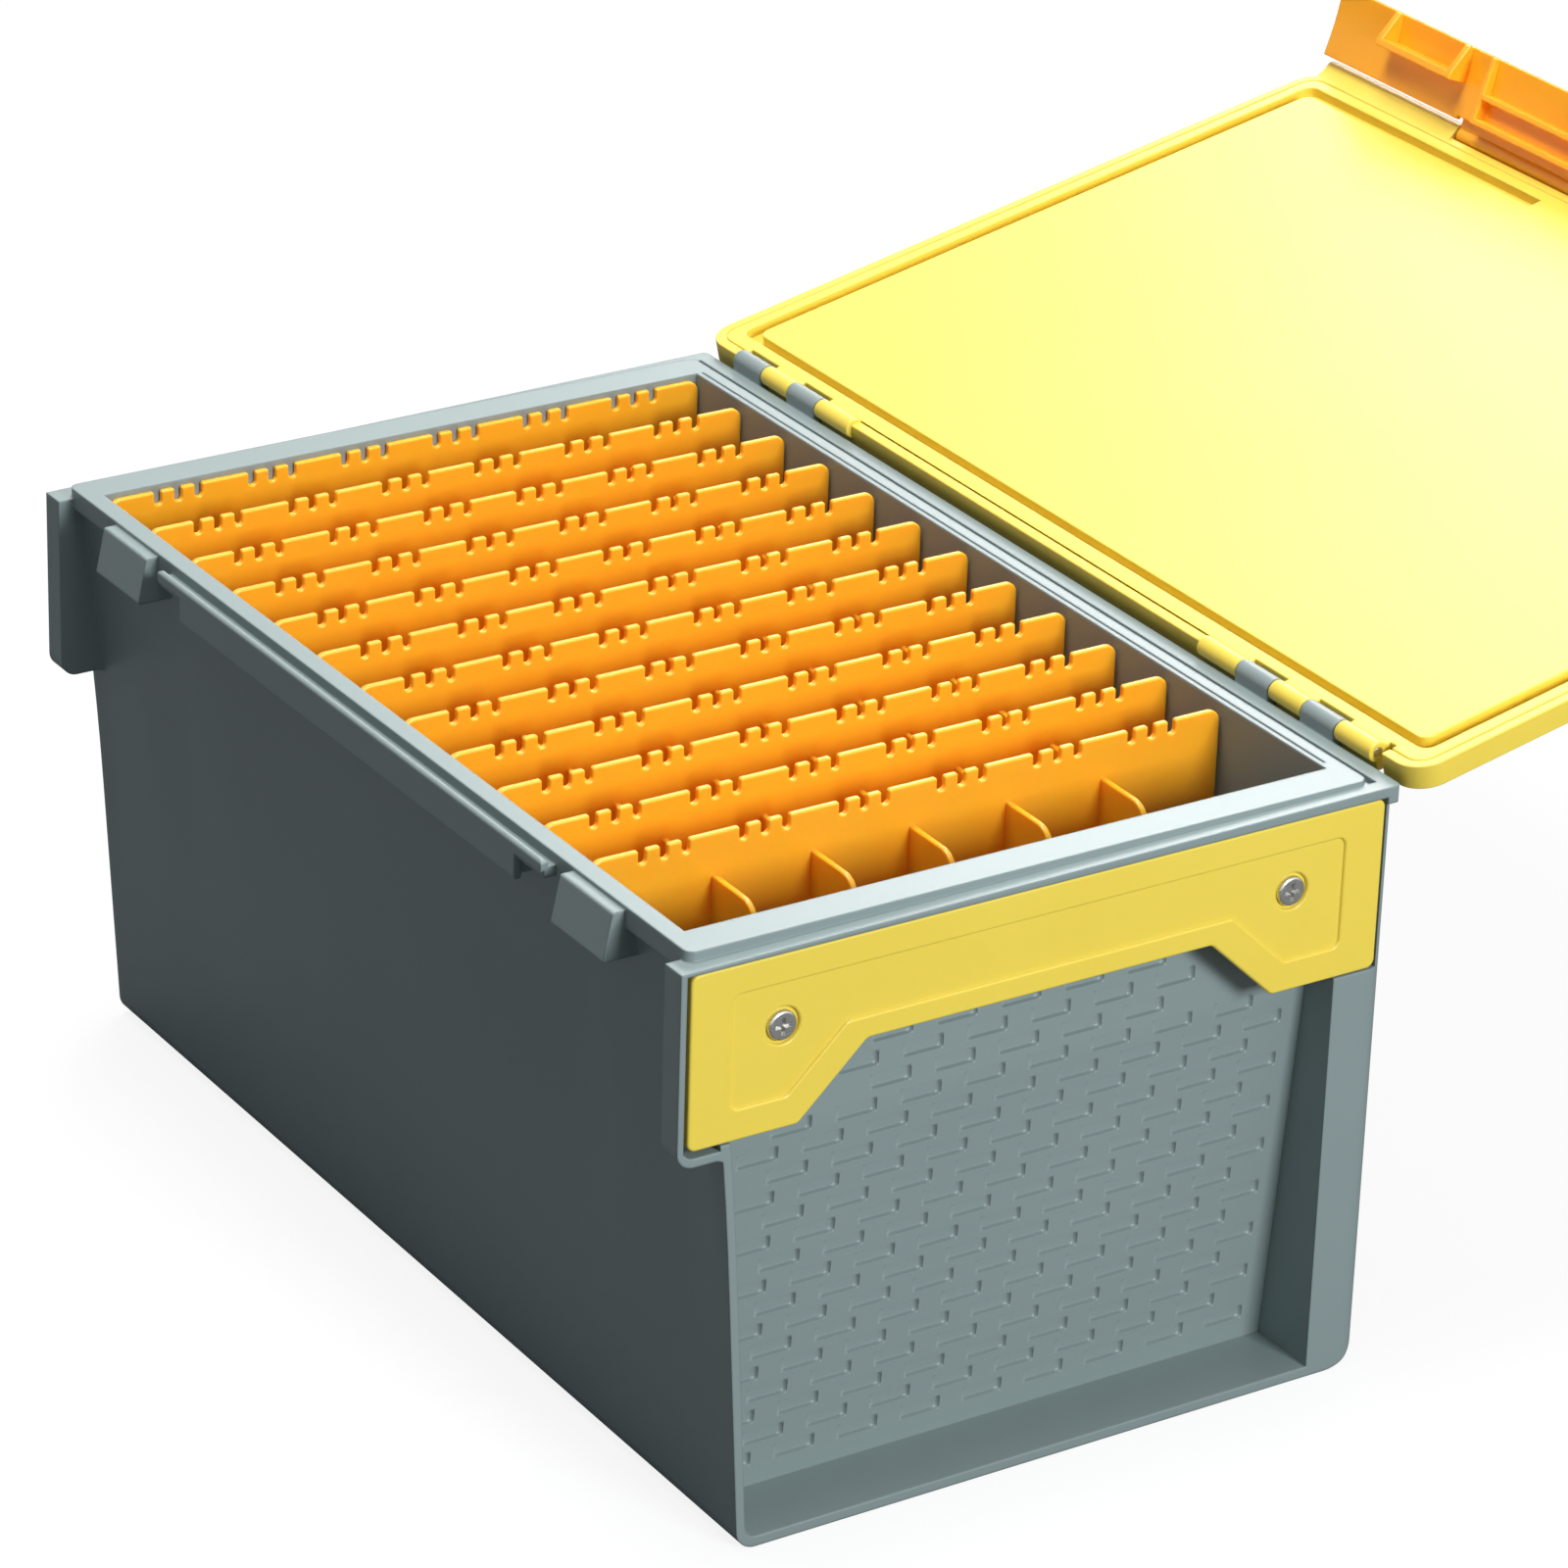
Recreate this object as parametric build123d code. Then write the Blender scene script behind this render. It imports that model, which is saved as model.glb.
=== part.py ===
from build123d import *
import math
import os

os.makedirs("parts", exist_ok=True)

# Sizes are in mm. X runs along the box, the hinge is on the +Y side, and z = 0 is the underside.
# "End" sizes are along X and "side" sizes are along Y.

# Tub
opening_width = 200.0
comb_pitch = 24.6
pitches_in_opening = 13
box_height = 177.0
wall = 2.5
upper_wall = 3.0
floor_thickness = 3.0
front_foot_inset = 11.0
front_bend_inset = 4.2
front_bend_height = 114.0
front_bend_round = 1200.0
front_base_round = 6.0
hinge_base_round = 12.0
frame_reach = 16.1
recess_depth_top = 13.6
recess_depth_base = 24.0
recess_bend_below_rim = 62.0
recess_bend_round = 8.0

# Rim
rim_end_width = 11.4
rim_side_width = 5.8
rim_step = 3.0
rim_round = 3.0
ledge_thickness = 3.0
ledge_rise = 1.9
ledge_corner_round = 1.5
front_ledge_reach = 10.5
hinge_ledge_reach = 13.2
ledge_groove_width = 2.5
ledge_groove_depth = 2.0
bead_line_width = 0.6
bead_line_depth = 0.5
bead_line_inset = 1.6

# Front posts, strike bar and latch lugs
post_width = 8.0
post_skin = 1.8
post_round = 5.0
post_below_rim = 58.5
post_foot_round = 3.9
post_foot_run = 14.0
strike_lip_inset = 0.5
strike_lip_height = 3.5
strike_lip_round = 1.0
apron_inset = 13.5
apron_height = 7.5
apron_skin = 2.2
apron_edge_round = 0.8
strike_bar_rise = 2.0
strike_rib_count = 7
strike_rib = 2.0
strike_rib_set_back = 1.0
lug_from_end = 48.0
lug_width = 26.0
lug_top_below_rim = 1.0
lug_height = 13.6
lug_top_reach = 9.5
lug_reach = 12.4
lug_edge_round = 0.6

# Hinge-side columns
column_inset = 5.0
column_behind_wall = 2.0
column_round = 7.0
column_base_round = 12.0

# End plates and their screws
plate_thickness = 3.0
plate_lip = 1.0
plate_front_inset = 3.1
plate_hinge_inset = 4.8
plate_front_gap = 1.3
plate_hinge_gap = 0.8
plate_foot_gap = 0.4
plate_leg_drop = 50.0
plate_middle_drop = 30.5
leg_foot_width = 33.0
leg_slope_width = 20.5
plate_recess = 0.8
plate_border_side = 12.5
plate_border_top = 8.5
plate_border_bottom = 9.0
plate_border_middle = 6.5
plate_round = 2.5
screw_from_edge = 27.9
screw_below_rim = 25.0
screw_head_radius = 4.25
screw_head_height = 1.6
screw_radius = 1.9
screw_length = 10.0
screw_tip_room = 0.1
screw_slot_length = 4.8
screw_slot_width = 1.0
screw_slot_depth = 0.9
counterbore_radius = 5.25
counterbore_depth = 1.2
boss_radius = 4.6
screw_clearance = 0.05
seat_gap = 0.1

# Combs and the rails they stand in
comb_count = 12
comb_thickness = 2.0
comb_side_gap = 0.5
comb_below_rim = 1.5
comb_corner_round = 3.5
comb_foot_round = 1.0
comb_seat_below_rim = 55.0
comb_rail_reach = 4.5
comb_rail_edge = 4.0
comb_slot_depth = 2.0
comb_slot_gap = 0.1
notch_group_pitch = 30.77
notch_groups = 6
notches_in_group = 3
notch_pitch = 6.6
notch_width = 2.4
notch_depth = 4.0
notch_foot_round = 1.1
notch_edge_round = 0.7
fin_below_comb = 12.0
fin_reach = 21.0
fin_round = 6.5
fin_foot_round = 1.0
fin_thickness = 1.8

# Lid, in its closed place
lid_end_overhang = 3.5
lid_front_overhang = 5.5
lid_hinge_overhang = 1.0
lid_corner_round = 9.0
lid_gap = 0.3
lid_thickness = 7.2
lid_border_width = 7.5
lid_hinge_border_width = 9.0
lid_groove_width = 4.5
lid_hinge_groove_width = 3.0
lid_groove_depth = 3.2
lid_groove_round = 3.5
lid_line_inset = 3.0
lid_line_width = 0.6
lid_line_depth = 0.5
lid_panel_skin = 2.3
lid_panel_rib = 2.0
front_pad_half = 54.0
front_pad_depth = 6.0
open_angle = 168.0

# Lid hinge
hinge_beyond_ledge = 2.8
hinge_above_rim = 1.8
barrel_radius = 3.0
hinge_pin_radius = 1.3
pin_clearance = 0.05
knuckle_gap = 0.25
hinge_relief = 4.2
stop_gap = 0.15
stop_land_top = 1.0
arm_foot_reach = 1.0
knuckle_width = 14.8
knuckle_pitch = 30.0
near_knuckle_from_end = 30.8
far_knuckle_from_end = 16.3
near_barrel_from_end = 94.0
far_barrel_from_end = 79.5
slit_from_end = 11.7
slit_width = 2.7
pin_end_wall = 1.5

# Latch flap, in its closed place
latch_ahead_of_lid = 3.7
latch_above_rim = 0.4
latch_rest_angle = 32.0
latch_barrel_radius = 3.0
flap_barrel_radius = 3.2
flap_web_front = 3.0
flap_web_front_drop = 1.0
flap_web_back = 2.6
flap_web_back_drop = 2.2
flap_neck_cut = 1.0
latch_pin_radius = 1.25
flap_barrel_from_end = 69.0
latch_gap = 1.0
latch_barrel_inset = 3.5
latch_pin_in_flap = 15.0
flap_end_inset = 2.5
flap_inner_offset = 4.8
flap_thickness = 2.2
flap_top_drop = 4.2
flap_height = 27.0
flap_tab_height = 33.0
flap_tab_width = 11.0
flap_end_round = 4.0
flap_tab_round = 3.0
flap_foot_round = 2.0
flap_curve_start = 10.0
flap_curve_radius = 80.0
catch_width = 38.0
catch_rib = 2.4
catch_bar_gap = 0.4
catch_reach = 7.5
catch_leg_reach = 3.5
flap_rib = 2.0
flap_rib_reach = 3.5
flap_rib_drops = (6.5, 14.5)
flap_rib_pitch = 48.5

# Places worked out from the sizes above
half_width = opening_width / 2
half_length = comb_pitch * pitches_in_opening / 2
frame_end = half_length + frame_reach
rim_half_length = half_length + rim_end_width
rim_half_width = half_width + rim_side_width
ledge_top = box_height - rim_step
ledge_bottom = ledge_top - ledge_thickness
front_ledge = -half_width - front_ledge_reach
hinge_ledge = half_width + hinge_ledge_reach
hinge_ledge_top = ledge_top + ledge_rise
front_foot = half_width - front_foot_inset
front_bend = half_width - front_bend_inset
column_inner_face = half_width - column_inset
column_length = recess_depth_base + column_behind_wall
plate_front_edge = -front_ledge - plate_front_inset
plate_hinge_edge = hinge_ledge - plate_hinge_inset
screw_half_spacing = plate_front_edge - screw_from_edge
screw_seat = frame_end - plate_recess - counterbore_depth
screw_tip = screw_seat - screw_length
post_z = box_height - post_below_rim
seat_z = box_height - comb_seat_below_rim
upper_outer = half_width + upper_wall
end_wall_top = frame_end - recess_depth_top
end_wall_base = frame_end - recess_depth_base
bend_z = box_height - recess_bend_below_rim
plate_back = frame_end - plate_thickness
pocket_back = plate_back - seat_gap
plate_top = ledge_top - plate_lip - seat_gap
comb_slot_floor = seat_z - comb_slot_depth
first_comb_x = -half_length + comb_thickness / 2
lid_bottom = box_height + lid_gap
lid_top = lid_bottom + lid_thickness
lid_half_length = frame_end + lid_end_overhang
lid_front_reach = -front_ledge + lid_front_overhang
hinge_y = hinge_ledge + hinge_beyond_ledge
hinge_z = box_height + hinge_above_rim
lid_hinge_reach = hinge_y + lid_hinge_overhang
near_knuckle = frame_end - near_knuckle_from_end - knuckle_width
far_knuckle = far_knuckle_from_end - frame_end
near_barrel_start = frame_end - near_barrel_from_end
far_barrel_end = far_barrel_from_end - frame_end
slit_end = frame_end - slit_from_end
slit_start = slit_end - slit_width
latch_y = -lid_front_reach - latch_ahead_of_lid
latch_z = box_height + latch_above_rim
latch_barrel_end = lid_half_length - latch_barrel_inset
flap_barrel_half = frame_end - flap_barrel_from_end
flap_half_length = lid_half_length - flap_end_inset
strike_lip_half = flap_barrel_half - strike_lip_inset
apron_half = strike_lip_half - apron_inset
lug_centre = frame_end - lug_from_end
lug_bottom = box_height - lug_top_below_rim - lug_height
big = 2 * lid_half_length
over = 1.0


def outline(corners):
    """A closed flat face through (u, v, radius) corners."""
    spans = []
    for i, (u, v, radius) in enumerate(corners):
        here = Vector(u, v)
        back = (Vector(*corners[i - 1][:2]) - here).normalized()
        ahead = (Vector(*corners[(i + 1) % len(corners)][:2]) - here).normalized()
        if radius <= 0:
            spans.append((here, None, here))
            continue
        half = math.radians(back.get_angle(ahead)) / 2
        reach = radius / math.tan(half)
        middle = here + (back + ahead).normalized() * (radius / math.sin(half) - radius)
        spans.append((here + back * reach, middle, here + ahead * reach))
    edges = []
    for i, (start, middle, stop) in enumerate(spans):
        if middle is not None:
            edges.append(ThreePointArc(start, middle, stop))
        following = spans[(i + 1) % len(spans)][0]
        if (following - stop).length > 1e-6:
            edges.append(Line(stop, following))
    return Face(Wire(edges))


def along_x(corners, x0, x1):
    """A bar along X with a section of (y, z, radius) corners."""
    return extrude(Plane.YZ.offset(x0) * outline(corners), x1 - x0, dir=(1, 0, 0))


def along_y(corners, y0, y1):
    """A bar along Y with a section of (x, z, radius) corners."""
    plane = Plane((0, y0, 0), x_dir=(1, 0, 0), z_dir=(0, -1, 0))
    return extrude(plane * outline(corners), y1 - y0, dir=(0, 1, 0))


def along_z(corners, z0, z1):
    """A slab with an outline of (x, y, radius) corners."""
    return extrude(Plane.XY.offset(z0) * outline(corners), z1 - z0, dir=(0, 0, 1))


def block(x0, x1, y0, y1, z0, z1):
    size = Box(x1 - x0, y1 - y0, z1 - z0)
    return Pos((x0 + x1) / 2, (y0 + y1) / 2, (z0 + z1) / 2) * size


def slab(x0, x1, y0, y1, radius, z0, z1):
    corners = [(x0, y0, radius), (x1, y0, radius), (x1, y1, radius), (x0, y1, radius)]
    return along_z(corners, z0, z1)


def rod(radius, y, z, x0, x1):
    """A round bar along X."""
    bar = Cylinder(radius, x1 - x0, rotation=(0, 90, 0))
    return Pos((x0 + x1) / 2, y, z) * bar


def both_ends(piece):
    return piece + mirror(piece, Plane.YZ)


def closed_to_open(shape):
    """Swings a lid piece from closed to the open rest pose."""
    return shape.rotate(Axis((0, hinge_y, hinge_z), (1, 0, 0)), -open_angle)


def latch_to_rest(shape):
    """Turns a flap piece outward from closed, and opens the lid with it."""
    return closed_to_open(shape.rotate(Axis((0, latch_y, latch_z), (1, 0, 0)), -latch_rest_angle))


def open_point(v, n):
    """The (y, z) of a lid point in the open pose: v from the hinge axis, n below the axis when closed."""
    turn = math.radians(open_angle)
    y = hinge_y - v * math.cos(turn) - n * math.sin(turn)
    z = hinge_z + v * math.sin(turn) - n * math.cos(turn)
    return y, z


# Tub: the trough
def trough_outer():
    return [
        (-front_foot, 0, front_base_round),
        (upper_outer, 0, hinge_base_round),
        (upper_outer, ledge_top, 0),
        (-upper_outer, ledge_top, 0),
        (-front_bend, front_bend_height, front_bend_round),
    ]


def trough_inner():
    return [
        (-front_foot + wall, floor_thickness, front_base_round - wall),
        (half_width, floor_thickness, hinge_base_round - upper_wall),
        (half_width, box_height + over, 0),
        (-half_width, box_height + over, 0),
        (-half_width, ledge_bottom, 0),
        (-front_bend + wall, front_bend_height, front_bend_round),
    ]


def front_inner(z):
    """How far the front wall's inner face is from the middle at a height above its bend."""
    lean = (half_width - front_bend + wall) / (ledge_bottom - front_bend_height)
    return front_bend - wall + lean * (z - front_bend_height)


def end_wall():
    """The near end wall, set back from the frame and leaning in towards the base."""
    leaning = along_y([
        (end_wall_base - wall, 0, 0),
        (end_wall_base, 0, 0),
        (end_wall_top, bend_z, recess_bend_round),
        (end_wall_top, ledge_top, 0),
        (half_length, ledge_top, 0),
        (half_length, bend_z, recess_bend_round),
    ], -upper_outer, upper_outer)
    return leaning & along_x(trough_outer(), 0, frame_end)


def column_room():
    """Clears the trough's hinge-side wall out of the near recess, where the column stands."""
    middle = wall / 2
    return along_y([
        (end_wall_base - middle, floor_thickness, 0),
        (frame_end + over, floor_thickness, 0),
        (frame_end + over, ledge_bottom, 0),
        (end_wall_top - middle, ledge_bottom, 0),
        (end_wall_top - middle, bend_z, 0),
    ], half_width / 2, upper_outer + over)


def column():
    """The hollow hinge-side column of the near frame, open towards the middle of the box."""
    back = frame_end - column_length
    upright = along_z([
        (back, column_inner_face, 0),
        (frame_end, column_inner_face, 0),
        (frame_end, hinge_ledge, column_round),
        (back, hinge_ledge, 0),
    ], 0, ledge_top)
    upright &= along_x([
        (column_inner_face, 0, 0),
        (hinge_ledge, 0, column_base_round),
        (hinge_ledge, ledge_top, 0),
        (column_inner_face, ledge_top, 0),
    ], back, frame_end)
    hollow = along_x([
        (column_inner_face + wall, floor_thickness, 0),
        (hinge_ledge - wall, floor_thickness, column_base_round - wall),
        (hinge_ledge - wall, ledge_bottom, 0),
        (column_inner_face + wall, ledge_bottom, 0),
    ], back - over, pocket_back - wall)
    foot = block(back, frame_end, upper_outer - hinge_base_round - wall, column_inner_face + wall,
                 0, floor_thickness)
    return upright - hollow + foot


def inside_room():
    """The room inside the box, from the floor up through the opening."""
    between_ends = along_y([
        (wall - end_wall_base, 0, 0),
        (end_wall_base - wall, 0, 0),
        (half_length, bend_z, recess_bend_round),
        (half_length, box_height + over, 0),
        (-half_length, box_height + over, 0),
        (-half_length, bend_z, recess_bend_round),
    ], -upper_outer, upper_outer)
    return between_ends & along_x(trough_inner(), -frame_end, frame_end)


def comb_rail(side):
    """The rail along one long wall that the combs stand in."""
    face = half_width if side > 0 else front_inner(seat_z)
    foot = seat_z - comb_rail_edge
    return along_x([
        (side * (face + wall / 2), seat_z, 0),
        (side * (face - comb_rail_reach), seat_z, 0),
        (side * (face - comb_rail_reach), foot, 0),
        (side * (face + wall / 2), foot - comb_rail_reach - wall / 2, 0),
    ], -half_length - wall / 2, half_length + wall / 2)


# Tub: the rim, the posts and what the lid and latch meet
def rim():
    ledge = along_z([
        (-frame_end, front_ledge, ledge_corner_round),
        (-frame_end + post_width, front_ledge, 0),
        (-frame_end + post_width, -rim_half_width, 0),
        (-strike_lip_half, -rim_half_width, 0),
        (-strike_lip_half, front_ledge + apron_skin / 2, 0),
        (strike_lip_half, front_ledge + apron_skin / 2, 0),
        (strike_lip_half, -rim_half_width, 0),
        (frame_end - post_width, -rim_half_width, 0),
        (frame_end - post_width, front_ledge, 0),
        (frame_end, front_ledge, ledge_corner_round),
        (frame_end, hinge_ledge, ledge_corner_round),
        (-frame_end, hinge_ledge, ledge_corner_round),
    ], ledge_bottom, hinge_ledge_top)
    ledge &= along_x([
        (front_ledge, ledge_bottom, 0),
        (hinge_ledge, ledge_bottom, 0),
        (hinge_ledge, hinge_ledge_top, 0),
        (front_ledge, ledge_top, 0),
    ], -frame_end, frame_end)
    flange = slab(-rim_half_length, rim_half_length, -rim_half_width, rim_half_width, rim_round,
                  ledge_bottom, box_height)
    opening = block(-half_length, half_length, -half_width, half_width, 0, box_height + over)
    groove = block(-rim_half_length, rim_half_length, rim_half_width,
                   rim_half_width + ledge_groove_width, hinge_ledge_top - ledge_groove_depth, box_height)
    bead_y = half_width + bead_line_inset
    bead_line = block(-half_length, half_length - 2 * bead_line_inset, bead_y, bead_y + bead_line_width,
                      box_height - bead_line_depth, box_height + over)
    return ledge + flange - opening - groove - bead_line


def front_post():
    """The near front post: a hollow box that stands proud of the front wall."""
    outside = along_x([
        (-half_width, ledge_top, 0),
        (front_ledge, ledge_top, 0),
        (front_ledge, post_z, post_round),
        (-front_bend, post_z, post_foot_round),
        (-front_inner(post_z), post_z - post_foot_run, 0),
        (-half_width / 2, post_z - post_foot_run, 0),
        (-half_width / 2, ledge_top, 0),
    ], frame_end - post_width, frame_end)
    hollow = along_x([
        (-upper_outer, ledge_bottom, 0),
        (front_ledge + post_skin, ledge_bottom, 0),
        (front_ledge + post_skin, post_z + wall, post_round - post_skin),
        (-half_width + wall, post_z + wall, 0),
    ], frame_end - post_width + post_skin, frame_end + over)
    inside = along_x(trough_inner(), 0, frame_end + over)
    return outside - hollow - inside


def plate_pocket():
    """The near seat that the end plate lies in."""
    return block(pocket_back, frame_end + over,
                 -plate_front_edge - plate_front_gap, plate_hinge_edge + plate_hinge_gap,
                 plate_top - plate_leg_drop - plate_foot_gap, ledge_top - plate_lip)


def strike_bar():
    """The bar along the front of the rim: a lip with round ends and an apron under it."""
    lip_top = ledge_top + strike_bar_rise
    lip_bottom = lip_top - strike_lip_height
    apron_bottom = lip_bottom - apron_height
    skin_back = front_ledge + apron_skin
    lip = along_x([
        (front_ledge, lip_bottom, 0),
        (skin_back, lip_bottom, 0),
        (skin_back, lip_top, strike_lip_round),
        (front_ledge, lip_top, strike_lip_round),
    ], -strike_lip_half, strike_lip_half)
    lip &= along_y([
        (-strike_lip_half, lip_bottom, strike_lip_round),
        (strike_lip_half, lip_bottom, strike_lip_round),
        (strike_lip_half, lip_top, strike_lip_round),
        (-strike_lip_half, lip_top, strike_lip_round),
    ], front_ledge - over, skin_back + over)
    apron = along_x([
        (front_ledge, apron_bottom, apron_edge_round),
        (skin_back, apron_bottom, apron_edge_round),
        (skin_back, ledge_top, 0),
        (front_ledge, ledge_top, 0),
    ], -apron_half, apron_half)
    bar = lip + apron
    step = 2 * (apron_half - strike_rib) / (strike_rib_count - 1)
    for i in range(strike_rib_count):
        x = (i - (strike_rib_count - 1) / 2) * step
        bar += block(x - strike_rib / 2, x + strike_rib / 2, skin_back - apron_skin / 2, -half_width,
                     apron_bottom + strike_rib_set_back, ledge_top)
    return bar


def latch_lug():
    """The near wedge that the catch snaps under."""
    return along_x([
        (-half_width - over, lug_bottom + lug_height, 0),
        (-half_width - over, lug_bottom, 0),
        (-half_width - lug_reach, lug_bottom, lug_edge_round),
        (-half_width - lug_top_reach, lug_bottom + lug_height, lug_edge_round),
    ], lug_centre - lug_width / 2, lug_centre + lug_width / 2)


def knuckle_starts():
    return [near_knuckle, near_knuckle - knuckle_pitch, far_knuckle, far_knuckle + knuckle_pitch]


def tub_knuckle(x0, x1):
    """A hinge barrel on an arm. The arm's outer corner is the stop of the open lid."""
    stop = hinge_relief - stop_gap
    low = open_point(stop, -barrel_radius)
    high = open_point(stop, -stop_land_top)
    arm = along_x([
        (hinge_ledge - wall, ledge_bottom, 0),
        (hinge_ledge + arm_foot_reach, ledge_bottom, 0),
        (low[0], low[1], 0),
        (high[0], high[1], 0),
        (hinge_y, hinge_z, 0),
        (hinge_y - barrel_radius, hinge_z, 0),
        (hinge_y - barrel_radius, ledge_top, 0),
        (hinge_ledge - wall, ledge_top, 0),
    ], x0, x1)
    knuckle = arm + rod(barrel_radius, hinge_y, hinge_z, x0, x1)
    return knuckle - rod(hinge_pin_radius + pin_clearance, hinge_y, hinge_z, x0 - over, x1 + over)


def screw_boss(side):
    y = side * screw_half_spacing
    z = box_height - screw_below_rim
    boss = rod(boss_radius, y, z, end_wall_top - wall / 2, pocket_back)
    bore = rod(screw_radius + screw_clearance, y, z, screw_tip - screw_tip_room, pocket_back + over)
    return boss, bore


def comb_x(number):
    return first_comb_x + number * comb_pitch


def make_tub():
    tub = along_x(trough_outer(), -frame_end, frame_end)
    tub -= along_x(trough_inner(), -frame_end - over, frame_end + over)
    tub -= both_ends(column_room())
    tub += both_ends(end_wall())
    tub += both_ends(column())
    tub += both_ends(front_post())
    tub += rim()
    tub -= both_ends(plate_pocket())
    tub += strike_bar()
    tub += both_ends(latch_lug())
    tub -= inside_room()
    for side in (-1, 1):
        boss, bore = screw_boss(side)
        tub += both_ends(boss)
        tub -= both_ends(bore)
        rail = comb_rail(side)
        slot_half = comb_thickness / 2 + comb_slot_gap
        for number in range(comb_count):
            x = comb_x(number)
            low, high = sorted((side * (front_inner(seat_z) - 2 * comb_rail_reach), side * half_width))
            rail -= block(x - slot_half, x + slot_half, low, high, comb_slot_floor, seat_z + over)
        tub += rail
    for start in knuckle_starts():
        tub += tub_knuckle(start, start + knuckle_width)
    return tub


# End plates and screws
def plate_corners(inset_side, inset_top, inset_bottom, inset_middle, radius):
    """The plate's outline in (y, z), or one drawn in from it by the four insets."""
    top = plate_top - inset_top
    foot = plate_top - plate_leg_drop + inset_bottom
    middle = plate_top - plate_middle_drop + inset_middle
    front = -plate_front_edge + inset_side
    hinge = plate_hinge_edge - inset_side
    foot_inner = plate_front_edge - leg_foot_width
    slope = leg_slope_width / (plate_leg_drop - plate_middle_drop)
    lean = inset_bottom * math.hypot(1, slope) - inset_bottom * slope
    foot_inner += lean
    middle_inner = foot_inner - slope * (middle - foot)
    return [
        (front, top, radius),
        (front, foot, radius),
        (-foot_inner, foot, radius),
        (-middle_inner, middle, radius),
        (middle_inner, middle, radius),
        (foot_inner, foot, radius),
        (hinge, foot, radius),
        (hinge, top, radius),
    ]


def screw_places():
    z = box_height - screw_below_rim
    return [(-screw_half_spacing, z), (screw_half_spacing, z)]


def make_end_plate():
    plate = along_x(plate_corners(0, 0, 0, 0, plate_round), plate_back, frame_end)
    field = plate_corners(plate_border_side, plate_border_top, plate_border_bottom,
                          plate_border_middle, plate_round)
    plate -= along_x(field, frame_end - plate_recess, frame_end + over)
    for y, z in screw_places():
        plate -= rod(counterbore_radius, y, z, screw_seat, frame_end + over)
        plate -= rod(screw_radius + 4 * screw_clearance, y, z, plate_back - over, frame_end)
    return plate


def make_plate_screws():
    seat = screw_seat
    screws = []
    for y, z in screw_places():
        head = rod(screw_head_radius, y, z, seat, seat + screw_head_height)
        crown = head.edges().filter_by(GeomType.CIRCLE).sort_by(Axis.X)[-1]
        head = fillet(crown, screw_head_height / 2)
        for long_side, short_side in ((screw_slot_length, screw_slot_width),
                                      (screw_slot_width, screw_slot_length)):
            head -= block(seat + screw_head_height - screw_slot_depth, seat + screw_head_height + over,
                          y - long_side / 2, y + long_side / 2, z - short_side / 2, z + short_side / 2)
        screws.append(head + rod(screw_radius, y, z, screw_tip, seat))
    return Compound(screws)


# Combs
def make_comb(number):
    top = box_height - comb_below_rim
    half = half_width - comb_side_gap
    corners = [(half, comb_slot_floor, comb_foot_round), (half, top, comb_corner_round)]
    span = (notches_in_group - 1) / 2
    for group in reversed(range(notch_groups)):
        middle = (group - (notch_groups - 1) / 2) * notch_group_pitch
        for k in reversed(range(notches_in_group)):
            y = middle + (k - span) * notch_pitch
            corners += [
                (y + notch_width / 2, top, notch_edge_round),
                (y + notch_width / 2, top - notch_depth, notch_foot_round),
                (y - notch_width / 2, top - notch_depth, notch_foot_round),
                (y - notch_width / 2, top, notch_edge_round),
            ]
    front_foot_y = comb_side_gap - front_inner(comb_slot_floor)
    corners += [(-half, top, comb_corner_round), (front_foot_y, comb_slot_floor, comb_foot_round)]
    x = comb_x(number)
    comb = along_x(corners, x - comb_thickness / 2, x + comb_thickness / 2)
    fin_top = top - fin_below_comb
    fin_tip = x + comb_thickness / 2 + fin_reach
    for k in range(notch_groups - 1):
        y = (k - (notch_groups - 2) / 2) * notch_group_pitch
        comb += along_y([
            (x, comb_slot_floor, 0),
            (fin_tip, comb_slot_floor, fin_foot_round),
            (fin_tip, fin_top, fin_round),
            (x, fin_top, 0),
        ], y - fin_thickness / 2, y + fin_thickness / 2)
    return comb


# Lid, drawn closed
def lid_slab(inset, hinge_inset, radius, z0, z1):
    """A slab over the lid's outline, drawn in by its insets."""
    half = lid_half_length - inset
    return slab(-half, half, inset - lid_front_reach, lid_hinge_reach - hinge_inset, radius, z0, z1)


def lid_latch_barrel():
    """The near barrel on the lid's front edge that holds the latch pin."""
    start = flap_barrel_half + latch_gap
    barrel = rod(latch_barrel_radius, latch_y, latch_z, start, latch_barrel_end)
    web = along_x([
        (wall - lid_front_reach, lid_bottom + latch_barrel_radius, 0),
        (latch_y, latch_z + latch_barrel_radius, 0),
        (latch_y, latch_z - latch_barrel_radius, 0),
        (wall - lid_front_reach, lid_bottom, 0),
    ], start, latch_barrel_end)
    return barrel + web


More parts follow.
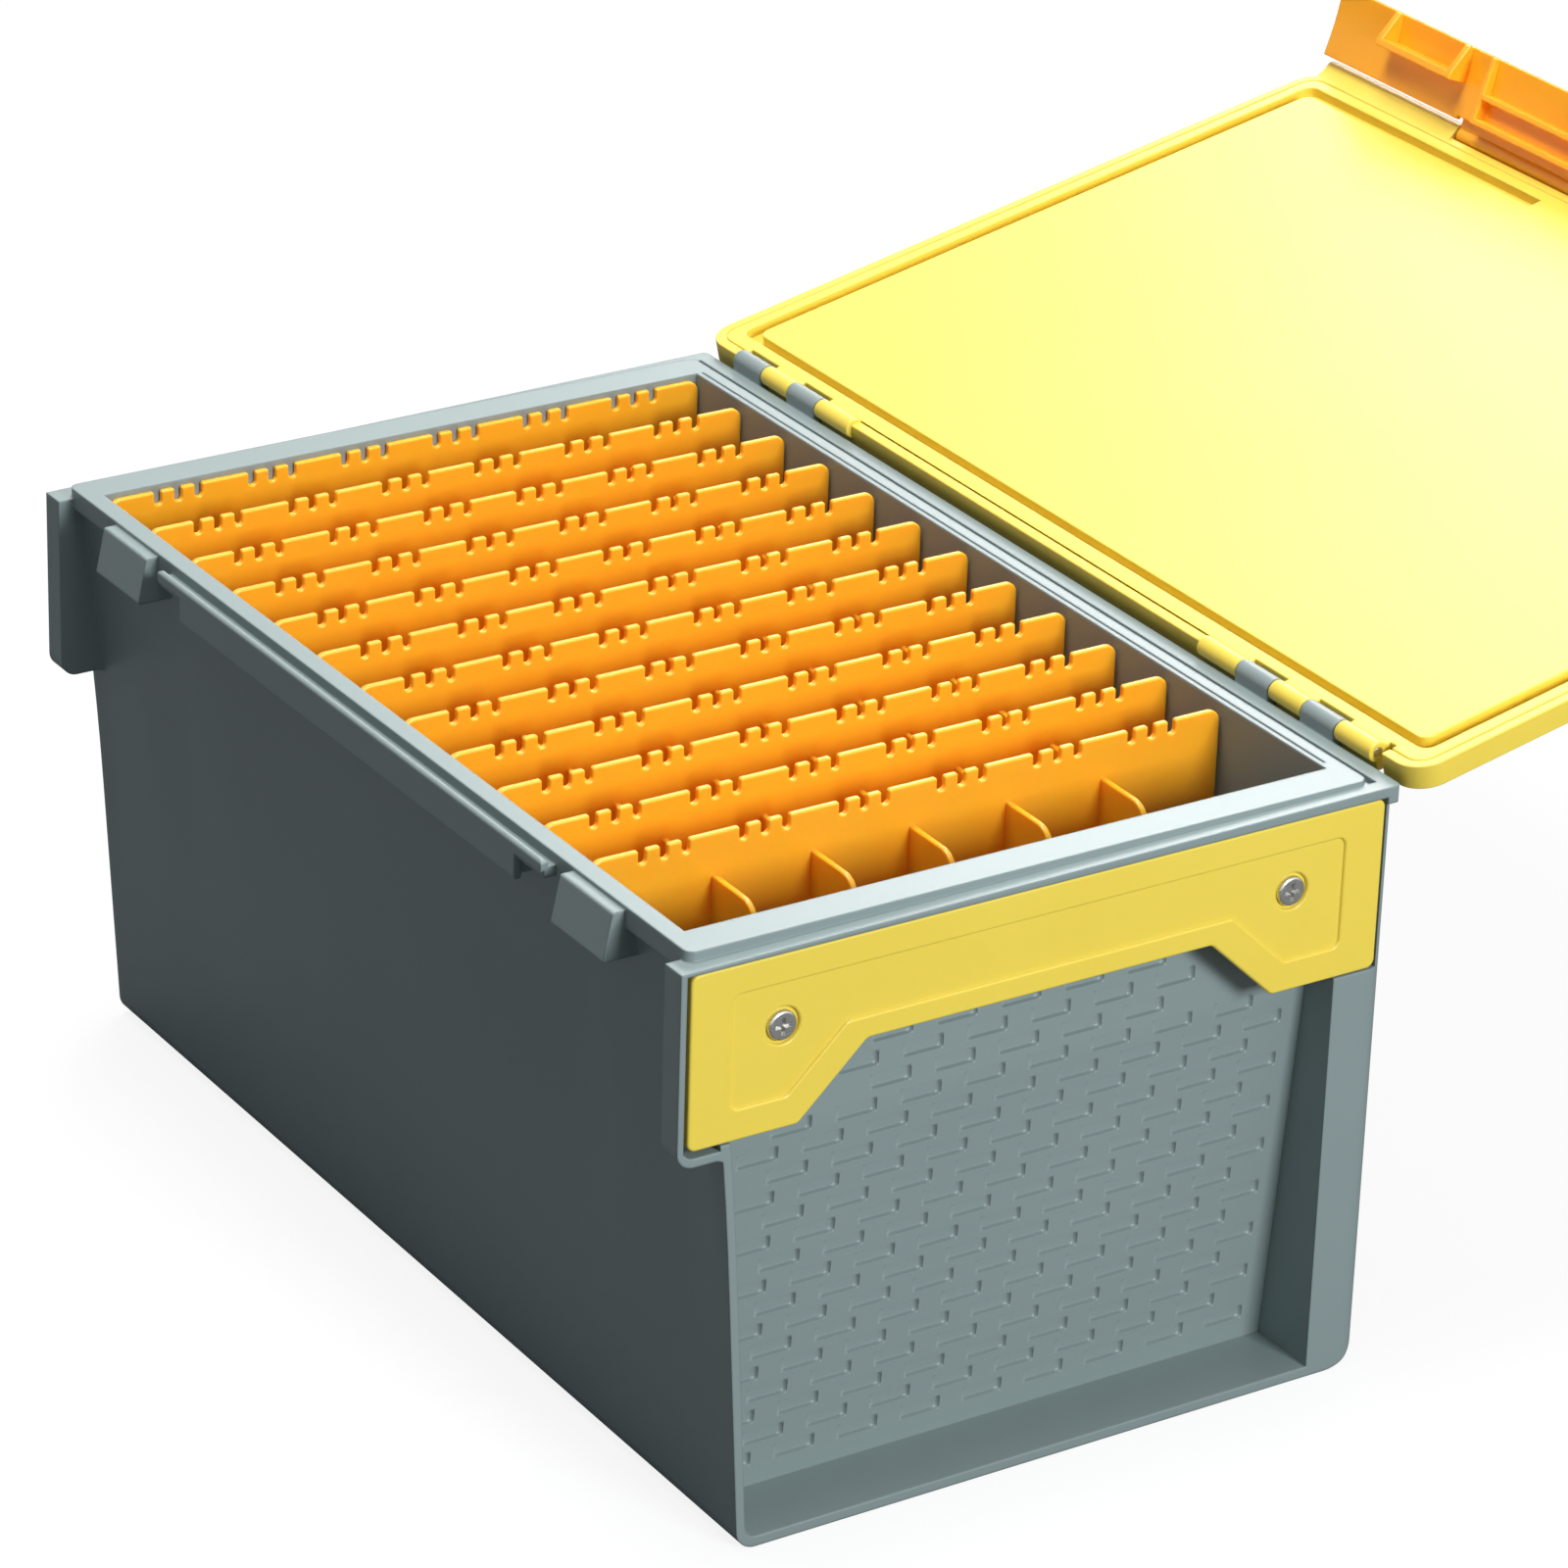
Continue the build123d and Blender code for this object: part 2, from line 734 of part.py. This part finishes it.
def make_lid():
    lid = lid_slab(0, 0, lid_corner_round, lid_bottom, lid_top)
    panel_inset = lid_border_width + lid_groove_width
    panel_hinge_inset = lid_hinge_border_width + lid_hinge_groove_width
    groove = lid_slab(lid_border_width, lid_hinge_border_width, lid_groove_round,
                      lid_bottom - over, lid_bottom + lid_groove_depth)
    groove -= lid_slab(panel_inset, panel_hinge_inset, lid_groove_round,
                       lid_bottom - over, lid_bottom + lid_groove_depth)
    pad_end = panel_inset + front_pad_depth - lid_front_reach
    groove -= block(-front_pad_half, front_pad_half, -lid_front_reach, pad_end, 0, big)
    line_end = lid_line_inset + lid_line_width
    line = lid_slab(lid_line_inset, lid_line_inset, lid_corner_round - lid_line_inset,
                    lid_bottom - over, lid_bottom + lid_line_depth)
    line -= lid_slab(line_end, line_end, lid_corner_round - line_end,
                     lid_bottom - over, lid_bottom + lid_line_depth)
    rib = lid_panel_rib
    hollow = lid_slab(panel_inset + rib, panel_hinge_inset + rib, lid_groove_round,
                      lid_bottom + lid_panel_skin, lid_top + over)
    lid = lid - groove - line - hollow
    lid += both_ends(lid_latch_barrel())
    relief = hinge_y - hinge_relief
    cut_y = hinge_y + 2 * barrel_radius
    for x0, x1 in ((near_barrel_start, slit_start), (far_knuckle + knuckle_width, far_barrel_end)):
        lid += rod(barrel_radius, hinge_y, hinge_z, x0, x1)
    lid -= block(slit_start, slit_end, relief, cut_y, 0, big)
    for x in knuckle_starts():
        lid -= block(x - knuckle_gap, x + knuckle_width + knuckle_gap, relief, cut_y, 0, big)
    bore = hinge_pin_radius + pin_clearance
    lid -= rod(bore, hinge_y, hinge_z, near_barrel_start + pin_end_wall, slit_start)
    lid -= rod(bore, hinge_y, hinge_z, far_knuckle - pin_end_wall, far_barrel_end - pin_end_wall)
    bore_start = flap_barrel_half - latch_pin_in_flap
    lid -= both_ends(rod(latch_pin_radius + pin_clearance, latch_y, latch_z,
                         bore_start, latch_barrel_end - pin_end_wall))
    return closed_to_open(lid)


def make_hinge_pin(x0, x1):
    return rod(hinge_pin_radius, hinge_y, hinge_z, x0, x1)


def make_latch_pin():
    start = flap_barrel_half - latch_pin_in_flap + pin_end_wall
    pin = rod(latch_pin_radius, latch_y, latch_z, start, latch_barrel_end - 2 * pin_end_wall)
    return closed_to_open(pin)


# Latch flap, drawn closed
def flap_section(low_z):
    """The flap's curved plate in (y, z), from its top down to low_z."""
    inner = latch_y + flap_inner_offset
    outer = inner - flap_thickness
    top = latch_z - flap_top_drop
    bend = latch_z - flap_curve_start

    def curve(y, radius, z):
        return Vector(y + radius - math.sqrt(radius ** 2 - (bend - z) ** 2), z)

    middle = (bend + low_z) / 2
    inner_radius = flap_curve_radius
    outer_radius = flap_curve_radius + flap_thickness
    edges = [
        Line((inner, top), (inner, bend)),
        ThreePointArc((inner, bend), curve(inner, inner_radius, middle), curve(inner, inner_radius, low_z)),
        Line(curve(inner, inner_radius, low_z), curve(outer, outer_radius, low_z)),
        ThreePointArc(curve(outer, outer_radius, low_z), curve(outer, outer_radius, middle), (outer, bend)),
        Line((outer, bend), (outer, top)),
        Line((outer, top), (inner, top)),
    ]
    return Face(Wire(edges))


def flap_catch():
    """The near catch: a bar that hooks under the lug, on two legs down to the free edge."""
    inner = latch_y + flap_inner_offset
    bar_top = lug_bottom - catch_bar_gap
    foot = latch_z - flap_height
    x0 = lug_centre - catch_width / 2
    x1 = lug_centre + catch_width / 2
    bar = block(x0, x1, inner - flap_thickness / 2, inner + catch_reach, bar_top - catch_rib, bar_top)
    leg = [
        (inner - flap_thickness / 2, bar_top, 0),
        (inner + catch_reach, bar_top, 0),
        (inner + catch_reach, bar_top - catch_rib, 0),
        (inner + catch_leg_reach, foot, 0),
        (inner, foot, 0),
    ]
    return bar + along_x(leg, x0, x0 + catch_rib) + along_x(leg, x1 - catch_rib, x1)


def make_latch_flap():
    half = flap_half_length
    tab = half - flap_tab_width
    low = latch_z - flap_tab_height
    foot = latch_z - flap_height
    section = Plane.YZ.offset(-half) * flap_section(low)
    flap = extrude(section, 2 * half, dir=(1, 0, 0))
    flap &= along_y([
        (-half, latch_z, 0),
        (-half, low, flap_end_round),
        (-tab, low, flap_tab_round),
        (-tab, foot, flap_foot_round),
        (tab, foot, flap_foot_round),
        (tab, low, flap_tab_round),
        (half, low, flap_end_round),
        (half, latch_z, 0),
    ], latch_y - flap_height, latch_y + flap_height)
    inner = latch_y + flap_inner_offset
    outer = inner - flap_thickness
    web_foot = latch_z - 2 * flap_top_drop
    flap += along_x([
        (inner, web_foot, 0),
        (latch_y + flap_web_back, latch_z - flap_web_back_drop, 0),
        (latch_y, latch_z, 0),
        (latch_y - flap_web_front, latch_z - flap_web_front_drop, 0),
        (outer, web_foot, 0),
    ], -flap_barrel_half, flap_barrel_half)
    for side in (-1, 1):
        low_x, high_x = sorted((side * flap_barrel_half, side * (half + over)))
        flap -= block(low_x, high_x, latch_y - 2 * flap_barrel_radius, 0,
                      latch_z - flap_top_drop, big)
    neck_half = flap_barrel_half + latch_gap
    flap -= block(-neck_half, neck_half, latch_y + flap_web_back, 0,
                  latch_z - flap_top_drop - flap_neck_cut, big)
    flap += rod(flap_barrel_radius, latch_y, latch_z, -flap_barrel_half, flap_barrel_half)
    flap += both_ends(flap_catch())
    rib_end = 2 * flap_rib_pitch
    rib_top = latch_z - flap_rib_drops[0] + flap_rib / 2
    for drop in flap_rib_drops:
        z = latch_z - drop
        flap += block(-rib_end, rib_end, inner - flap_thickness / 2, inner + flap_rib_reach,
                      z - flap_rib / 2, z + flap_rib / 2)
    for k in range(-2, 3):
        x = k * flap_rib_pitch
        flap += along_x([
            (inner - flap_thickness / 2, rib_top, 0),
            (inner + flap_rib_reach, rib_top, 0),
            (inner + flap_rib_reach, foot, 0),
            (inner, foot, 0),
        ], x - flap_rib / 2, x + flap_rib / 2)
    bore_start = flap_barrel_half - latch_pin_in_flap
    flap -= both_ends(rod(latch_pin_radius + pin_clearance, latch_y, latch_z,
                          bore_start, flap_barrel_half + over))
    return latch_to_rest(flap)


def save(piece, name):
    export_step(piece, f"parts/{name}.step")


end_plate = make_end_plate()
plate_screws = make_plate_screws()
latch_pin = make_latch_pin()
save(make_tub(), "tub")
save(end_plate, "end_plate_near")
save(mirror(end_plate, Plane.YZ), "end_plate_far")
save(plate_screws, "plate_screws_near")
save(mirror(plate_screws, Plane.YZ), "plate_screws_far")
for comb_number in range(comb_count):
    save(make_comb(comb_number), f"comb_{comb_number + 1:02d}")
save(make_lid(), "lid")
save(make_hinge_pin(near_barrel_start + 2 * pin_end_wall, slit_start - pin_clearance), "hinge_pin_near")
save(make_hinge_pin(far_knuckle + pin_clearance, far_barrel_end - 2 * pin_end_wall), "hinge_pin_far")
save(make_latch_flap(), "latch_flap")
save(latch_pin, "latch_pin_near")
save(mirror(latch_pin, Plane.YZ), "latch_pin_far")
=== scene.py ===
import math
import bpy
import bmesh
from mathutils import Matrix, Vector


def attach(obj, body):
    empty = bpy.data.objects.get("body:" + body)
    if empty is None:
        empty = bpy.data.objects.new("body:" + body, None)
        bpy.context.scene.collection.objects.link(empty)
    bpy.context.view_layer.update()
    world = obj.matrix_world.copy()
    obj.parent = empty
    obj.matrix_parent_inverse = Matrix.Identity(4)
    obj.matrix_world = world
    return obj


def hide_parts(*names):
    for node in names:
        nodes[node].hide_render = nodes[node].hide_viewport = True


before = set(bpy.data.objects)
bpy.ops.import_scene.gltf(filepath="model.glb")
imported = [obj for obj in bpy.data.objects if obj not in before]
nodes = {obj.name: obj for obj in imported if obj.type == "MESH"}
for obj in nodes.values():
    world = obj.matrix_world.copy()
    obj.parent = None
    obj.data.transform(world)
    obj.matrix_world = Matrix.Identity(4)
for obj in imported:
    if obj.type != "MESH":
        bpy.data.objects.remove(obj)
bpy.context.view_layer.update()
mm = 0.001
white = (1, 1, 1, 1)
print("frame loaded:", len(nodes), "nodes")


def addObject(name, data):
    made = bpy.data.objects.new(name, data)
    bpy.context.scene.collection.objects.link(made)
    return made


# camera: where the photograph was taken from, in metres, and its three axes
camera = {
    "eye": (1.4268, -0.8947, 0.9238),
    "right": (0.533036, 0.845592, 0.029108),
    "down": (0.374995, -0.205267, -0.904016),
    "ahead": (-0.758453, 0.492788, -0.426508),
    "focalPixels": 6791.3,
    "imagePixels": 1600,
    "sensor": 36.0,  # millimetres
}


def placeCamera(c):
    data = bpy.data.cameras.new("photoCamera")
    data.sensor_width = c["sensor"]
    data.lens = c["focalPixels"] / c["imagePixels"] * c["sensor"]
    eye = addObject("photoCamera", data)
    right, down, ahead = Vector(c["right"]), Vector(c["down"]), Vector(c["ahead"])
    turn = Matrix((right, -down, -ahead)).transposed().to_4x4()
    eye.matrix_world = Matrix.Translation(Vector(c["eye"])) @ turn
    bpy.context.scene.camera = eye


placeCamera(camera)
print("camera placed")


# finishes: colours are linear, lengths are in metres
plastics = {
    "greyShell": {
        "colour": (0.225, 0.280, 0.282), "shade": (0.200, 0.252, 0.255), "roughness": 0.38,
        "grain": 1900, "depth": 0.00004, "edge": 0.0010, "soak": 0.0,
    },
    "yellowShell": {
        "colour": (0.800, 0.620, 0.085), "shade": (0.750, 0.565, 0.065), "roughness": 0.38,
        "grain": 1500, "depth": 0.00002, "edge": 0.0004, "soak": 0.12,
    },
    "combOrange": {
        "colour": (0.950, 0.450, 0.022), "shade": (0.910, 0.395, 0.015), "roughness": 0.32,
        "grain": 1500, "depth": 0.00002, "edge": 0.0004, "soak": 0.72,
    },
    "flapOrange": {
        "colour": (0.980, 0.430, 0.014), "shade": (0.940, 0.380, 0.010), "roughness": 0.34,
        "grain": 1500, "depth": 0.00002, "edge": 0.0004, "soak": 0.35,
    },
}
# the end wall relief has finer edges than the rest of the tub
plastics["greyWall"] = {**plastics["greyShell"], "edge": 0.0001}
moulding = {  # what all the plastics share
    "cloudScale": 14, "cloudDetail": 4,  # slow colour drift across the moulding
    "grainDetail": 3, "grainStrength": 0.5,  # fine spark-eroded grain
    "swing": 0.08,  # from the smoothest to the roughest spot
    "specular": 0.5,
    "soakReach": (0.004, 0.002, 0.0006), "soakScale": 1.0,  # red goes deepest
}
steels = {
    "screwSteel": {"colour": (0.62, 0.61, 0.58), "roughness": 0.26},
    "pinSteel": {"colour": (0.62, 0.62, 0.62), "roughness": 0.26},
}
plating = {  # what both steels share
    "scuffScale": 700, "scuffDetail": 5,
    "smoother": 0.08, "rougher": 0.12,
    "edge": 0.0002,
}
edgeSamples = 6


def link(tree, out, into):
    tree.links.new(out, into)


def startMaterial(name):
    made = bpy.data.materials.new(name)
    made.use_nodes = True
    return made, made.node_tree, made.node_tree.nodes["Principled BSDF"]


def noise(tree, place, scale, detail):
    texture = tree.nodes.new("ShaderNodeTexNoise")
    texture.inputs["Scale"].default_value = scale
    texture.inputs["Detail"].default_value = detail
    link(tree, place, texture.inputs["Vector"])
    return texture.outputs["Fac"]


def mixColours(tree, share, low, high):
    mix = tree.nodes.new("ShaderNodeMix")
    mix.data_type = "RGBA"  # its colours go in at 6 and 7 and come out at 2
    mix.inputs[6].default_value = (*low, 1)
    mix.inputs[7].default_value = (*high, 1)
    link(tree, share, mix.inputs[0])
    return mix.outputs[2]


def mixShaders(tree, share, first, second):
    mix = tree.nodes.new("ShaderNodeMixShader")
    for place, out in enumerate((share, first, second)):
        link(tree, out, mix.inputs[place])
    return mix.outputs[0]


def varyRoughness(tree, texture, shader, low, high):
    spread = tree.nodes.new("ShaderNodeMapRange")
    spread.inputs["To Min"].default_value = low
    spread.inputs["To Max"].default_value = high
    link(tree, texture, spread.inputs["Value"])
    link(tree, spread.outputs["Result"], shader.inputs["Roughness"])


def softEdge(tree, radius):
    edge = tree.nodes.new("ShaderNodeBevel")
    edge.samples = edgeSamples
    edge.inputs["Radius"].default_value = radius
    return edge.outputs["Normal"]


def mouldedPlastic(name, f, m):
    made, tree, shader = startMaterial(name)
    place = tree.nodes.new("ShaderNodeTexCoord").outputs["Object"]
    cloud = noise(tree, place, m["cloudScale"], m["cloudDetail"])
    colour = mixColours(tree, cloud, f["shade"], f["colour"])
    link(tree, colour, shader.inputs["Base Color"])
    grain = noise(tree, place, f["grain"], m["grainDetail"])
    swing = m["swing"] / 2
    varyRoughness(tree, grain, shader, f["roughness"] - swing, f["roughness"] + swing)
    bump = tree.nodes.new("ShaderNodeBump")
    bump.inputs["Strength"].default_value = m["grainStrength"]
    bump.inputs["Distance"].default_value = f["depth"]
    link(tree, grain, bump.inputs["Height"])
    link(tree, softEdge(tree, f["edge"]), bump.inputs["Normal"])
    link(tree, bump.outputs["Normal"], shader.inputs["Normal"])
    shader.inputs["Specular IOR Level"].default_value = m["specular"]
    if f["soak"] > 0:  # light soaks a little way into the coloured plastics
        shader.inputs["Subsurface Weight"].default_value = f["soak"]
        shader.inputs["Subsurface Radius"].default_value = m["soakReach"]
        shader.inputs["Subsurface Scale"].default_value = m["soakScale"]
    return made


def platedSteel(name, f, p):
    made, tree, shader = startMaterial(name)
    place = tree.nodes.new("ShaderNodeTexCoord").outputs["Object"]
    scuff = noise(tree, place, p["scuffScale"], p["scuffDetail"])
    low, high = f["roughness"] - p["smoother"], f["roughness"] + p["rougher"]
    varyRoughness(tree, scuff, shader, low, high)
    link(tree, softEdge(tree, p["edge"]), shader.inputs["Normal"])
    shader.inputs["Base Color"].default_value = (*f["colour"], 1)
    shader.inputs["Metallic"].default_value = 1
    return made


finish = {name: mouldedPlastic(name, f, moulding) for name, f in plastics.items()}
finish.update({name: platedSteel(name, f, plating) for name, f in steels.items()})
print("finishes made:", len(finish))


# pieces whose CAD shape stays as it is
dressing = {
    "tub": "greyShell",
    "plate_screws_near": "screwSteel", "plate_screws_far": "screwSteel",
    "hinge_pin_near": "pinSteel", "hinge_pin_far": "pinSteel",
    "latch_pin_near": "pinSteel", "latch_pin_far": "pinSteel",
}


def dress(mesh, finishName):
    mesh.materials.clear()
    mesh.materials.append(finish[finishName])


for name, finishName in dressing.items():
    dress(nodes[name].data, finishName)
print("CAD pieces dressed:", len(dressing))


def addPiece(name, mesh, finishName, body):
    dress(mesh, finishName)
    piece = addObject(name, mesh)
    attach(piece, body)
    return piece


def shadeSmooth(shape, limit):  # smooth but for edges that turn by the limit or more
    for face in shape.faces:
        face.smooth = True
    for e in shape.edges:
        e.smooth = len(e.link_faces) == 2 and e.calc_face_angle() < limit


# moulded pieces: the CAD shape with its outer edges rounded as the mould leaves them
lid = {"radius": 0.0004, "finish": "yellowShell", "body": "lid", "slot": "yellow_shell"}
latchFlap = {"radius": 0.0004, "finish": "flapOrange", "body": "latch", "slot": "orange_shell"}
endPlate = {"radius": 0.00075, "finish": "yellowShell", "body": "tub", "slot": "yellow_shell"}
comb = {"radius": 0.0006, "finish": "combOrange", "body": "tub", "slot": "comb_orange", "count": 12}
rounding = {
    "sharpAngle": 32.0,  # degrees between two faces from which their edge is rounded
    "flatAngle": 0.6,  # degrees up to which two faces become one
    "weld": 0.000002,
    "steps": 3, "profile": 0.5,
    "faceWeight": 100,
}


def roundedMesh(node, radius, r):
    mesh = nodes[node].data.copy()
    mesh.name = node + "Rounded"
    shape = bmesh.new()
    shape.from_mesh(mesh)
    bmesh.ops.remove_doubles(shape, verts=shape.verts, dist=r["weld"])
    bmesh.ops.dissolve_limit(shape, angle_limit=math.radians(r["flatAngle"]),
                             verts=shape.verts, edges=shape.edges)
    limit = math.radians(r["sharpAngle"])
    sharp = [e for e in shape.edges
             if len(e.link_faces) == 2 and e.is_convex and e.calc_face_angle() > limit]
    bmesh.ops.bevel(shape, geom=sharp, offset=radius, segments=r["steps"],
                    profile=r["profile"], affect="EDGES", clamp_overlap=False)
    shadeSmooth(shape, limit)
    shape.to_mesh(mesh)
    shape.free()
    return mesh


def addRounded(node, m, r):
    mesh = roundedMesh(node, m["radius"], r)
    made = addPiece(node + "_rounded", mesh, m["finish"], m["body"])
    facing = made.modifiers.new("facing", "WEIGHTED_NORMAL")  # flat faces stay flat beside rounds
    facing.weight = r["faceWeight"]
    facing.keep_sharp = True
    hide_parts(node)


moulded = {"lid": lid, "latch_flap": latchFlap,
           "end_plate_near": endPlate, "end_plate_far": endPlate}
for number in range(1, comb["count"] + 1):
    moulded["comb_%02d" % number] = comb
for node, m in moulded.items():
    addRounded(node, m, rounding)
print("moulded pieces rounded:", len(moulded))


# end wall relief: a skin over the recessed wall, with shallow tile-shaped dimples in
# staggered rows, in millimetres
relief = {
    "finish": "greyWall", "body": "tub", "slot": "grey_shell",
    "length": 12.8, "height": 4.4, "corner": 0.9,  # one dimple
    "pitch": 20.0, "rowPitch": 6.85, "rows": 20, "stagger": -10.3,
    "firstRight": 8.3, "firstBottom": 9.65,
    "skin": 1.2, "depth": 1.15, "slope": 0.35, "bury": 0.4,
    "foot": 2.9, "head": 146.0, "hingeSide": 95.1,  # the skin's own edges
    "frontFoot": 86.5, "frontLean": 0.0637,
    "frontReach": 86.0, "hingeReach": 90.0,  # how far the dimples go
    "legFoot": 118.0, "middleReach": 62.0,  # above the plate's legs only the middle has dimples
    "wallFoot": 152.0, "wallTop": 162.4, "bendHeight": 115.0,  # the wall under the skin
    "lines": (-0.3, 0.0, 0.35, 0.9),  # mesh lines, from a dimple's rim inwards
    "leastGap": 0.1, "firstStep": -20, "lastStep": 40,
    "smoothAngle": 60,  # degrees
}
reliefSides = {"wall_relief_near": 1, "wall_relief_far": -1}  # towards +X and -X


def wallX(z, r):
    lean = (r["wallTop"] - r["wallFoot"]) * min(z, r["bendHeight"]) / r["bendHeight"]
    return r["wallFoot"] + lean


def rowShift(row, r):
    return r["firstRight"] - r["length"] / 2 + r["stagger"] * (row % 2)


def hasDimple(y, z, r):
    half = r["length"] / 2
    inWall = y - half >= -r["frontReach"] and y + half <= r["hingeReach"]
    return inWall and (z < r["legFoot"] or abs(y) + half < r["middleReach"])


def skinHeight(y, z, r):
    row = round((z - r["firstBottom"] - r["height"] / 2) / r["rowPitch"])
    if not 0 <= row < r["rows"]:
        return r["skin"]
    midZ = r["firstBottom"] + r["height"] / 2 + row * r["rowPitch"]
    midY = rowShift(row, r) + r["pitch"] * round((y - rowShift(row, r)) / r["pitch"])
    if not hasDimple(midY, midZ, r):
        return r["skin"]
    u = abs(y - midY) - r["length"] / 2 + r["corner"]
    v = abs(z - midZ) - r["height"] / 2 + r["corner"]
    outside = math.hypot(max(u, 0), max(v, 0)) + min(max(u, v), 0) - r["corner"]
    share = min(max(-outside / r["slope"], 0), 1)
    return r["skin"] - r["depth"] * share * share * (3 - 2 * share)  # an S-shaped slope


def meshLines(low, high, first, pitch, size, r):
    found = {low, high}
    for step in range(r["firstStep"], r["lastStep"] + 1):
        start = first + step * pitch
        for offset in r["lines"]:  # to a thousandth, so that lines in one place are one
            found.update((round(start + offset, 3), round(start + size - offset, 3)))
    kept = [low]
    for line in sorted(found):
        if line - kept[-1] > r["leastGap"] and line <= high - r["leastGap"]:
            kept.append(line)
    return kept + [high]


def reliefMesh(side, r):
    first = rowShift(0, r) - r["length"] / 2
    across = set()
    for start in (first, first + r["stagger"]):
        across.update(meshLines(-r["frontFoot"], r["hingeSide"], start,
                                r["pitch"], r["length"], r))
    up = meshLines(r["foot"], r["head"], r["firstBottom"], r["rowPitch"], r["height"], r)
    shape = bmesh.new()

    def point(height, y, z):
        return shape.verts.new(Vector((side * (wallX(z, r) + height), y, z)) * mm)

    grid, back = [], []
    for z in up:
        places = [-r["frontFoot"] - r["frontLean"] * z] + sorted(across)
        grid.append([point(skinHeight(y, z, r), y, z) for y in places])
        back.append([point(-r["bury"], y, z) for y in (places[0], places[-1])])
    for low, high, lowBack, highBack in zip(grid, grid[1:], back, back[1:]):
        for i in range(len(low) - 1):
            shape.faces.new((low[i], low[i + 1], high[i + 1], high[i]))
        shape.faces.new((lowBack[0], highBack[0], highBack[1], lowBack[1]))
        shape.faces.new((low[0], high[0], highBack[0], lowBack[0]))
        shape.faces.new((low[-1], lowBack[1], highBack[1], high[-1]))
    shape.faces.new([*reversed(grid[0]), back[0][0], back[0][1]])
    shape.faces.new([*grid[-1], back[-1][1], back[-1][0]])
    bmesh.ops.recalc_face_normals(shape, faces=shape.faces)
    shadeSmooth(shape, math.radians(r["smoothAngle"]))
    mesh = bpy.data.meshes.new("wallRelief")
    shape.to_mesh(mesh)
    shape.free()
    return mesh


for name, side in reliefSides.items():
    mesh = reliefMesh(side, relief)
    addPiece(name, mesh, relief["finish"], relief["body"])
print("end wall relief laid")


# floor, backdrop and light
studio = {
    "floorSize": 40.0, "floorDrop": 0.0002,
    "floorColour": (0.90, 0.91, 0.92),
    "floorBounce": (0.11, 0.115, 0.12),
    "floorRoughness": 0.9,
    "floorLift": 0.88,  # how much of the paper's look is plain white
    "worldColour": (0.93, 0.96, 1.0),
    "worldStrength": 0.16,
    "lampTarget": (0, 0.05, 0.12),
}
lamps = {
    "backSoft": {"at": (-1.45, 1.5, 1.45), "size": 1.0, "power": 26, "colour": (1.0, 1.0, 1.0)},
    "topSoft": {"at": (-0.15, -0.1, 2.1), "size": 0.9, "power": 46, "colour": (1.0, 0.99, 0.97)},
    "endFill": {"at": (2.15, 0.3, 1.0), "size": 0.6, "power": 48, "colour": (0.96, 0.99, 1.0)},
}


def makeFloor(s):
    half = s["floorSize"] / 2
    corners = [(-half, -half, 0), (half, -half, 0), (half, half, 0), (-half, half, 0)]
    mesh = bpy.data.meshes.new("floor")
    mesh.from_pydata(corners, [], [(0, 1, 2, 3)])
    floor = addObject("floor", mesh)
    floor.location.z = -s["floorDrop"]
    paper, tree, shader = startMaterial("palePaper")
    shader.inputs["Roughness"].default_value = s["floorRoughness"]
    seen = tree.nodes.new("ShaderNodeLightPath").outputs["Is Camera Ray"]
    # the paper looks paler than the light that it throws back
    tone = mixColours(tree, seen, s["floorBounce"], s["floorColour"])
    link(tree, tone, shader.inputs["Base Color"])
    glow = tree.nodes.new("ShaderNodeEmission")
    glow.inputs["Color"].default_value = white
    lift = tree.nodes.new("ShaderNodeMath")
    lift.operation = "MULTIPLY"
    lift.inputs[1].default_value = s["floorLift"]
    link(tree, seen, lift.inputs[0])
    surface = mixShaders(tree, lift.outputs[0], shader.outputs[0], glow.outputs[0])
    link(tree, surface, tree.nodes["Material Output"].inputs["Surface"])
    mesh.materials.append(paper)


def makeWorld(s):
    world = bpy.data.worlds.new("studio")
    bpy.context.scene.world = world
    world.use_nodes = True
    tree = world.node_tree
    soft = tree.nodes["Background"]
    soft.inputs["Color"].default_value = (*s["worldColour"], 1)
    soft.inputs["Strength"].default_value = s["worldStrength"]
    bright = tree.nodes.new("ShaderNodeBackground")  # what the camera and the gloss see
    bright.inputs["Color"].default_value = white
    rays = tree.nodes.new("ShaderNodeLightPath").outputs
    seen = rays["Is Camera Ray"]
    for other in ("Is Glossy Ray", "Is Transmission Ray"):
        either = tree.nodes.new("ShaderNodeMath")
        either.operation = "MAXIMUM"
        link(tree, seen, either.inputs[0])
        link(tree, rays[other], either.inputs[1])
        seen = either.outputs[0]
    surface = mixShaders(tree, seen, soft.outputs[0], bright.outputs[0])
    link(tree, surface, tree.nodes["World Output"].inputs["Surface"])


def hangLamp(name, lamp, target):
    data = bpy.data.lights.new(name, "AREA")
    data.size = lamp["size"]
    data.energy = lamp["power"]
    data.color = lamp["colour"]
    made = addObject(name, data)
    made.location = lamp["at"]
    made.rotation_euler = (target - made.location).to_track_quat("-Z", "Y").to_euler()


makeFloor(studio)
makeWorld(studio)
for name, lamp in lamps.items():
    hangLamp(name, lamp, Vector(studio["lampTarget"]))
bpy.context.scene.view_settings.view_transform = "Standard"
print("studio lit")
